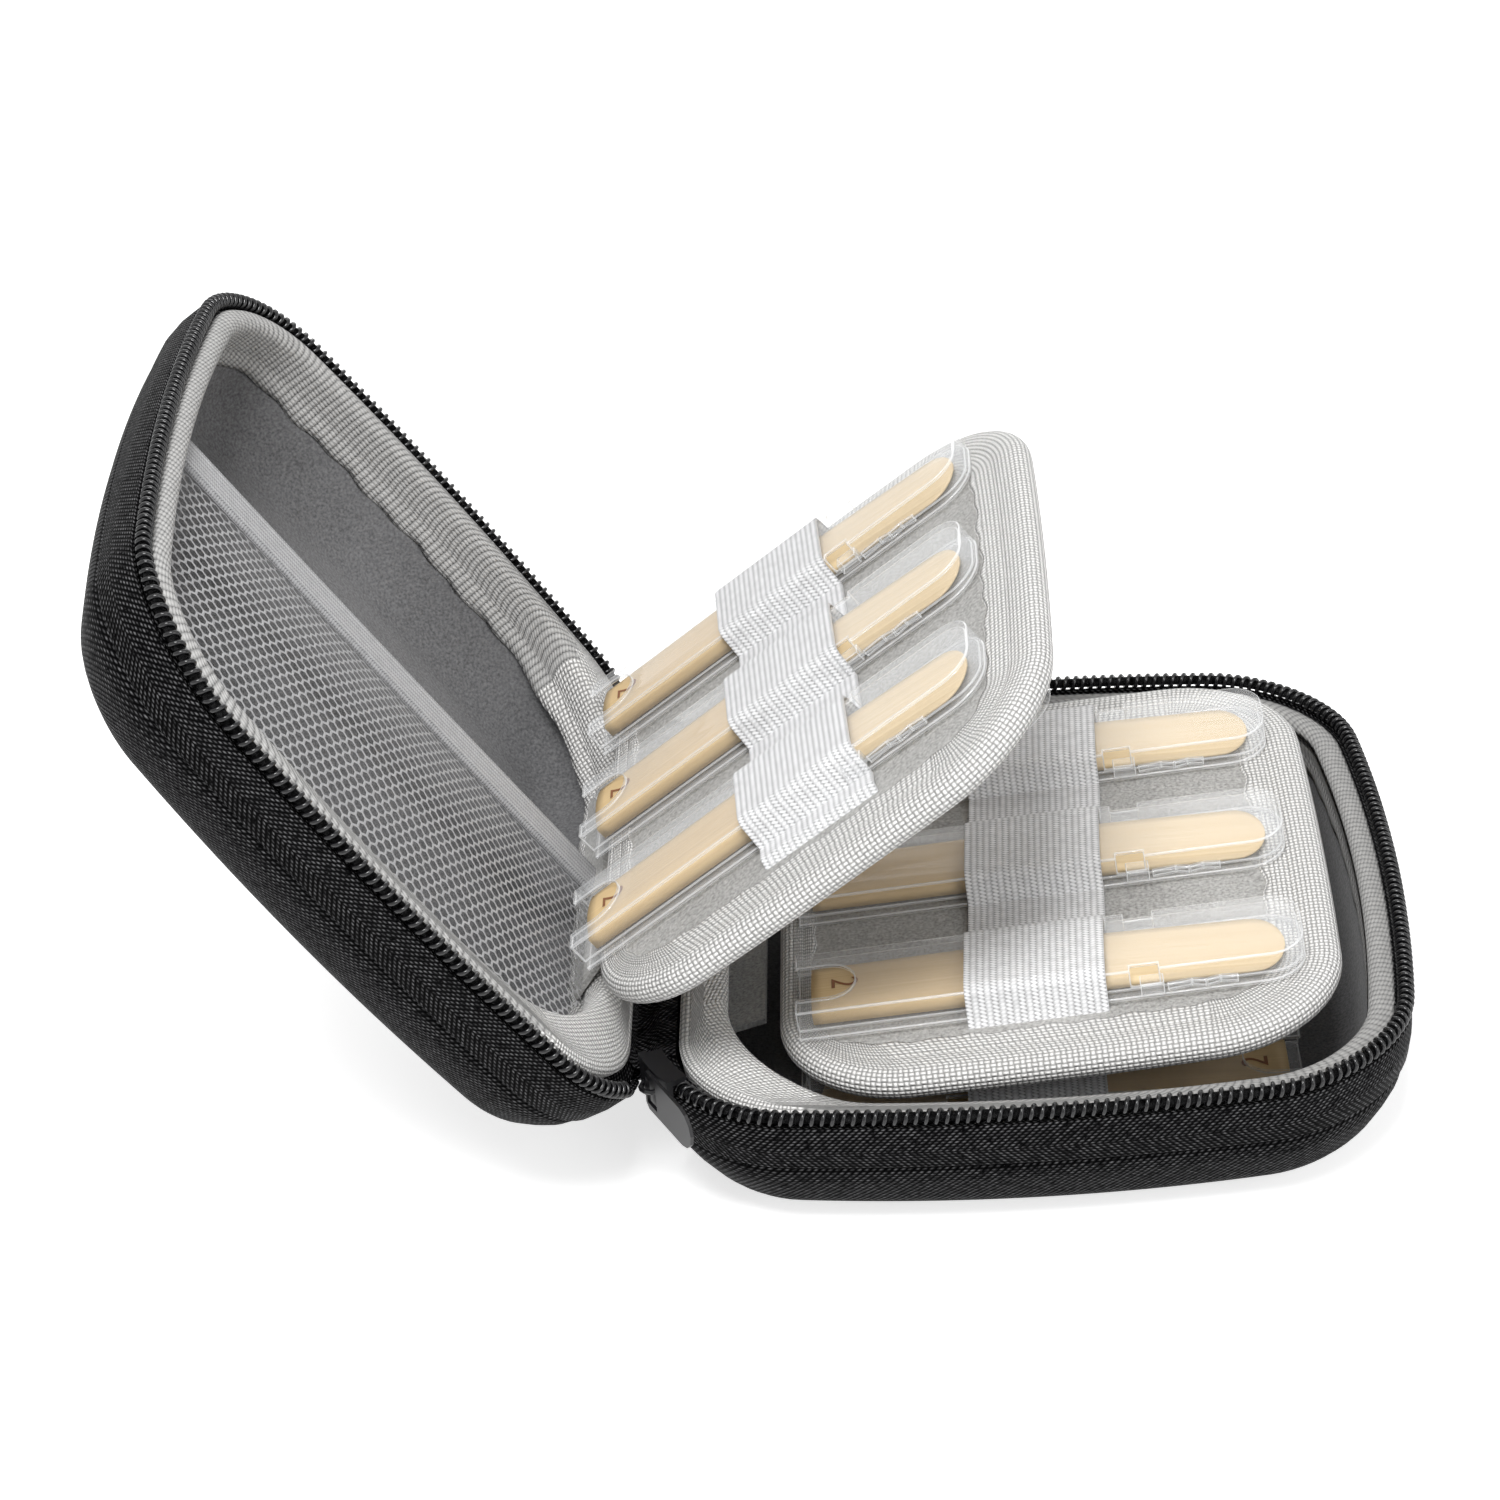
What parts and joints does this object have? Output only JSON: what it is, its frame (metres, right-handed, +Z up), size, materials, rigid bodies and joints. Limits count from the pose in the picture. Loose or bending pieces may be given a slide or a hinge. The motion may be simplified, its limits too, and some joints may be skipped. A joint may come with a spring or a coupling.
{
  "type": "reed case",
  "caption": "Zipped clamshell case for woodwind reeds, open on a table, with two swinging pages and a floor row of clear reed holders under elastic straps, and a mesh pocket in the lid.",
  "frame": {"origin": "centre of the lower shell's flat base, which rests on the table", "axes": "+Z up, +X from the hinge towards the free side, +Y along the hinge to the far side; the picture is taken from the -Y side"},
  "size_m": [0.1818, 0.1186, 0.1095],
  "materials": {
    "black_twill": "matte ballistic weave",
    "black_tape": "herringbone tape",
    "black_coil": "glossy moulded coil",
    "black_metal": "satin black paint",
    "grey_velour": "short velour pile",
    "light_velour": "short velour pile",
    "silver_binding": "coarse basket weave with a sheen",
    "grey_mesh": "knitted honeycomb mesh",
    "grey_elastic": "ribbed elastic",
    "board_grey": "plain stiffener sheet",
    "clear_plastic": "clear moulded",
    "cane": "smooth bark with a scraped vamp"
  },
  "bodies": {
    "lower_case": {"lower_shell": "black_twill", "lower_lining": "grey_velour", "lower_binding": "silver_binding", "lower_zip_tape": "black_tape", "lower_zip_coil": "black_coil", "hinge_gusset": "black_tape", "hinge_band": "black_tape", "floor_strap": "grey_elastic", "floor_holder_1": "clear_plastic", "floor_holder_2": "clear_plastic", "floor_holder_3": "clear_plastic"},
    "lid": {"lid_shell": "black_twill", "lid_lining": "grey_velour", "lid_binding": "silver_binding", "lid_zip_tape": "black_tape", "lid_zip_coil": "black_coil", "mesh_pocket": "grey_mesh", "mesh_pocket_band": "grey_elastic"},
    "slider": {"zip_slider": "black_metal"},
    "pull": {"zip_pull": "black_metal"},
    "flap_a": {"page_a_flap": "light_velour"},
    "page_a": {"page_a_board": "board_grey", "page_a_face_front": "light_velour", "page_a_face_back": "light_velour", "page_a_binding": "silver_binding", "page_a_strap_front": "grey_elastic", "page_a_strap_back": "grey_elastic"},
    "flap_b": {"page_b_flap": "light_velour"},
    "page_b": {"page_b_board": "board_grey", "page_b_face_front": "light_velour", "page_b_face_back": "light_velour", "page_b_binding": "silver_binding", "page_b_strap_front": "grey_elastic", "page_b_strap_back": "grey_elastic", "page_b_back_holder_1": "clear_plastic", "page_b_back_holder_2": "clear_plastic", "page_b_back_holder_3": "clear_plastic"},
    "a_holder_1": {"page_a_holder_1_tray": "clear_plastic", "page_a_holder_1_cover": "clear_plastic", "page_a_holder_1_reed": "cane"},
    "a_holder_2": {"page_a_holder_2_tray": "clear_plastic", "page_a_holder_2_cover": "clear_plastic", "page_a_holder_2_reed": "cane"},
    "a_holder_3": {"page_a_holder_3_tray": "clear_plastic", "page_a_holder_3_cover": "clear_plastic", "page_a_holder_3_reed": "cane"},
    "b_holder_1": {"page_b_holder_1_tray": "clear_plastic", "page_b_holder_1_cover": "clear_plastic", "page_b_holder_1_reed": "cane"},
    "b_holder_2": {"page_b_holder_2_tray": "clear_plastic", "page_b_holder_2_cover": "clear_plastic", "page_b_holder_2_reed": "cane"},
    "b_holder_3": {"page_b_holder_3_tray": "clear_plastic", "page_b_holder_3_cover": "clear_plastic", "page_b_holder_3_reed": "cane"},
    "a_back_holder_1": {"page_a_back_holder_1": "clear_plastic"},
    "a_back_holder_2": {"page_a_back_holder_2": "clear_plastic"},
    "a_back_holder_3": {"page_a_back_holder_3": "clear_plastic"}
  },
  "joints": [
    {"name": "lid_hinge", "type": "hinge", "parent": "lower_case", "child": "lid", "pos_m": [-0.051, 0, 0.0209], "axis": [0, -1, 0], "range_deg": [-123.7, 6], "deforming": ["hinge_gusset", "hinge_band", "mesh_pocket", "mesh_pocket_band"]},
    {"name": "flap_a_swing", "type": "hinge", "parent": "lid", "child": "flap_a", "pos_m": [-0.06347, 0, 0.02323], "axis": [0, -1, 0], "range_deg": [-4.4, 87.9]},
    {"name": "page_a_flip", "type": "hinge", "parent": "flap_a", "child": "page_a", "pos_m": [-0.0583, 0, 0.0305], "axis": [0, -1, 0], "range_deg": [0, 20]},
    {"name": "flap_b_swing", "type": "hinge", "parent": "lower_case", "child": "flap_b", "pos_m": [-0.04216, 0, 0.01577], "axis": [0, -1, 0], "range_deg": [-4.81, 0.3]},
    {"name": "page_b_flip", "type": "hinge", "parent": "flap_b", "child": "page_b", "pos_m": [-0.0341, 0, 0.0181], "axis": [0, -1, 0], "range_deg": [0, 30]},
    {"name": "zip_slide", "type": "hinge", "parent": "lower_case", "child": "slider", "pos_m": [-0.02956, -0.0343, 0.0215], "axis": [0, 0, 1], "range_deg": [0, 50]},
    {"name": "pull_swing", "type": "hinge", "parent": "slider", "child": "pull", "pos_m": [-0.05265, -0.04658, 0.0211], "axis": [0, 0, -1], "range_deg": [0, 60]},
    {"name": "a_holder_1_slide", "type": "slide", "parent": "page_a", "child": "a_holder_1", "axis": [0.81, 0, 0.5864], "range_m": [0, 0.046]},
    {"name": "a_holder_2_slide", "type": "slide", "parent": "page_a", "child": "a_holder_2", "axis": [0.81, 0, 0.5864], "range_m": [0, 0.046]},
    {"name": "a_holder_3_slide", "type": "slide", "parent": "page_a", "child": "a_holder_3", "axis": [0.81, 0, 0.5864], "range_m": [0, 0.046]},
    {"name": "b_holder_1_slide", "type": "slide", "parent": "page_b", "child": "b_holder_1", "axis": [0.9965, 0, 0.0837], "range_m": [0, 0.046]},
    {"name": "b_holder_2_slide", "type": "slide", "parent": "page_b", "child": "b_holder_2", "axis": [0.9965, 0, 0.0837], "range_m": [0, 0.046]},
    {"name": "b_holder_3_slide", "type": "slide", "parent": "page_b", "child": "b_holder_3", "axis": [0.9965, 0, 0.0837], "range_m": [0, 0.046]},
    {"name": "a_back_holder_1_slide", "type": "slide", "parent": "page_a", "child": "a_back_holder_1", "axis": [0.81, 0, 0.5864], "range_m": [0, 0.046]},
    {"name": "a_back_holder_2_slide", "type": "slide", "parent": "page_a", "child": "a_back_holder_2", "axis": [0.81, 0, 0.5864], "range_m": [0, 0.046]},
    {"name": "a_back_holder_3_slide", "type": "slide", "parent": "page_a", "child": "a_back_holder_3", "axis": [0.81, 0, 0.5864], "range_m": [0, 0.046]}
  ],
  "couplings": [
    {"joint": "flap_a_swing", "follows": "lid_hinge", "ratio": -0.7098},
    {"joint": "flap_b_swing", "follows": "lid_hinge", "ratio": 0.0388}
  ]
}
